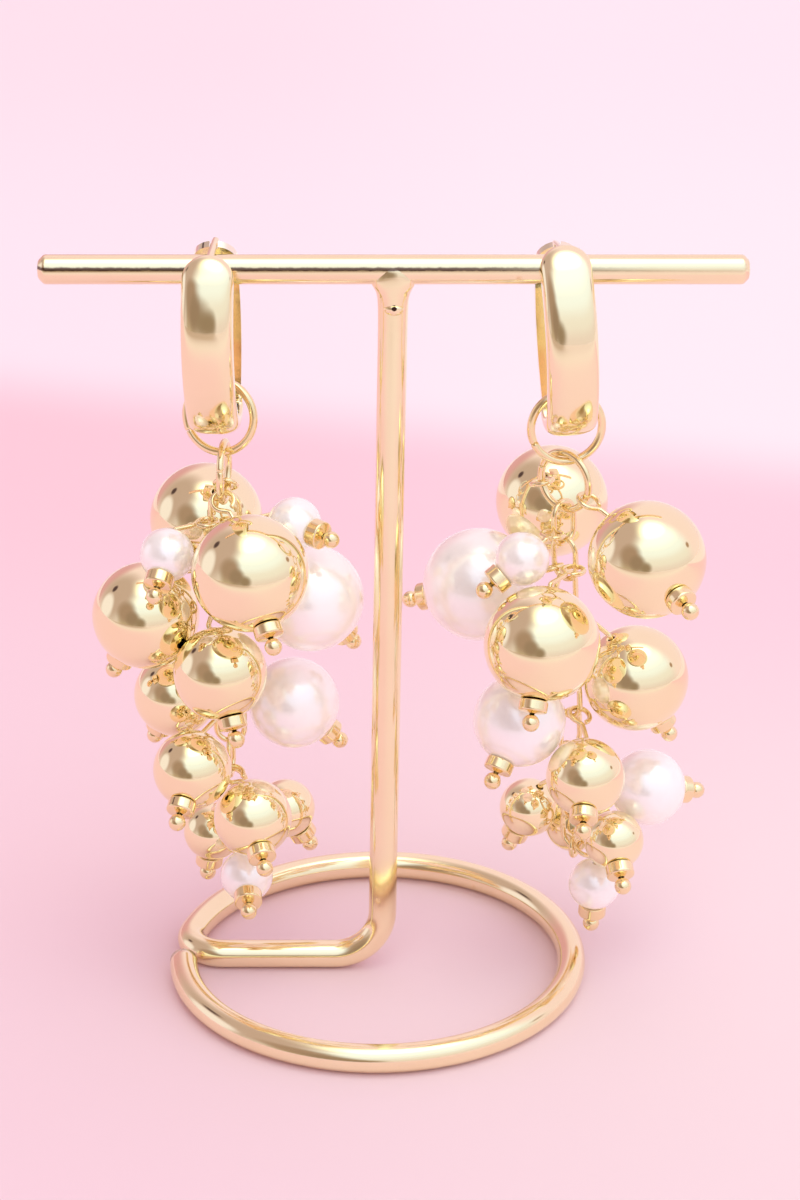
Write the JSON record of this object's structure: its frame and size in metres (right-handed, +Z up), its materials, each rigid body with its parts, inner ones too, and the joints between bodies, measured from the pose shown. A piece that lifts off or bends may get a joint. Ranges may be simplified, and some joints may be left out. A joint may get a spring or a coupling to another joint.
{
  "type": "cluster earrings on display stand",
  "caption": "Pair of hinged hoop earrings with chain-hung clusters of gold and pearl beads, on a T-bar wire display stand with an open ring foot.",
  "frame": {"origin": "the surface that the stand is on, under the middle of the crossbar and midway between the front and the back of the floor ring", "axes": "+Z up, +X along the crossbar, -Y towards the front, where the puffed bands of the hoops face"},
  "size_m": [0.095, 0.0602, 0.1075],
  "materials": {
    "stand_plating": "polished pale gold plating",
    "hoop_plating": "mirror polished pale gold plating",
    "link_plating": "polished pale gold plating",
    "bead_plating": "mirror polished pale gold plating",
    "pearl": "glossy imitation pearl with a pinkish nacre"
  },
  "bodies": {
    "pair_on_stand": {"stand": "stand_plating", "left_hoop_front": "hoop_plating", "left_hinge_pin": "hoop_plating", "left_jump_ring": "link_plating", "left_link_ring": "link_plating", "left_chain": "link_plating", "left_head_pins": "link_plating", "left_discs": "link_plating", "left_bead_1": "bead_plating", "left_bead_2": "pearl", "left_bead_3": "pearl", "left_bead_4": "bead_plating", "left_bead_5": "bead_plating", "left_bead_6": "pearl", "left_bead_7": "bead_plating", "left_bead_8": "bead_plating", "left_bead_9": "pearl", "left_bead_10": "bead_plating", "left_bead_11": "bead_plating", "left_bead_12": "bead_plating", "left_bead_13": "bead_plating", "left_bead_14": "pearl", "right_hoop_front": "hoop_plating", "right_hinge_pin": "hoop_plating", "right_jump_ring": "link_plating", "right_link_ring": "link_plating", "right_chain": "link_plating", "right_head_pins": "link_plating", "right_discs": "link_plating", "right_bead_1": "bead_plating", "right_bead_2": "bead_plating", "right_bead_3": "pearl", "right_bead_4": "pearl", "right_bead_5": "bead_plating", "right_bead_6": "bead_plating", "right_bead_7": "pearl", "right_bead_8": "bead_plating", "right_bead_9": "pearl", "right_bead_10": "bead_plating", "right_bead_11": "bead_plating", "right_bead_12": "bead_plating", "right_bead_13": "pearl"},
    "left_back": {"left_hoop_arm": "hoop_plating"},
    "right_back": {"right_hoop_arm": "hoop_plating"}
  },
  "joints": [
    {"name": "left_back_hinge", "type": "hinge", "parent": "pair_on_stand", "child": "left_back", "pos_m": [-0.02398, 0.0092, 0.08429], "axis": [-0.9986, 0.0523, 0], "range_deg": [0, 55]},
    {"name": "right_back_hinge", "type": "hinge", "parent": "pair_on_stand", "child": "right_back", "pos_m": [0.02342, 0.00793, 0.08346], "axis": [-0.9948, -0.0872, -0.0521], "range_deg": [0, 55]}
  ]
}
